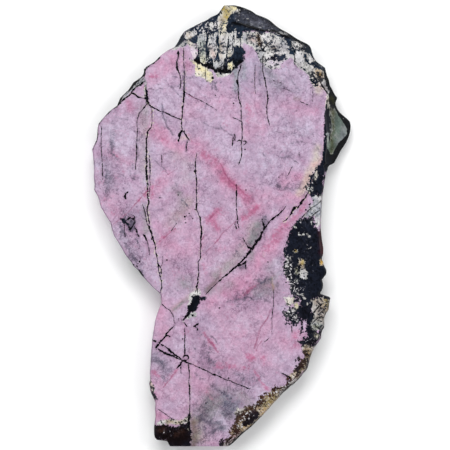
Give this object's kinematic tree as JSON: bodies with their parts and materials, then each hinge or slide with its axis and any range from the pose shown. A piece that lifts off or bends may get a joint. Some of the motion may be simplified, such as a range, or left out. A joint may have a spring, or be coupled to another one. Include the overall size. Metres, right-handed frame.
{
  "type": "rhodonite slab",
  "caption": "Thin sawn slab of pink rhodonite with black veins, a polished face, a flat sawn back and a rough natural edge.",
  "frame": {"origin": "bottom centre of the bounding box, on the sawn back's plane", "axes": "+Z out of the polished face, +Y along the slab from its sawn foot to its tip, +X across it to the side with the knobs"},
  "size_m": [0.0938, 0.16, 0.007],
  "materials": {
    "rhodonite": "polished, pink with black manganese oxide veins and patches"
  },
  "bodies": {
    "root": {"rhodonite_slab": "rhodonite"}
  },
  "joints": []
}
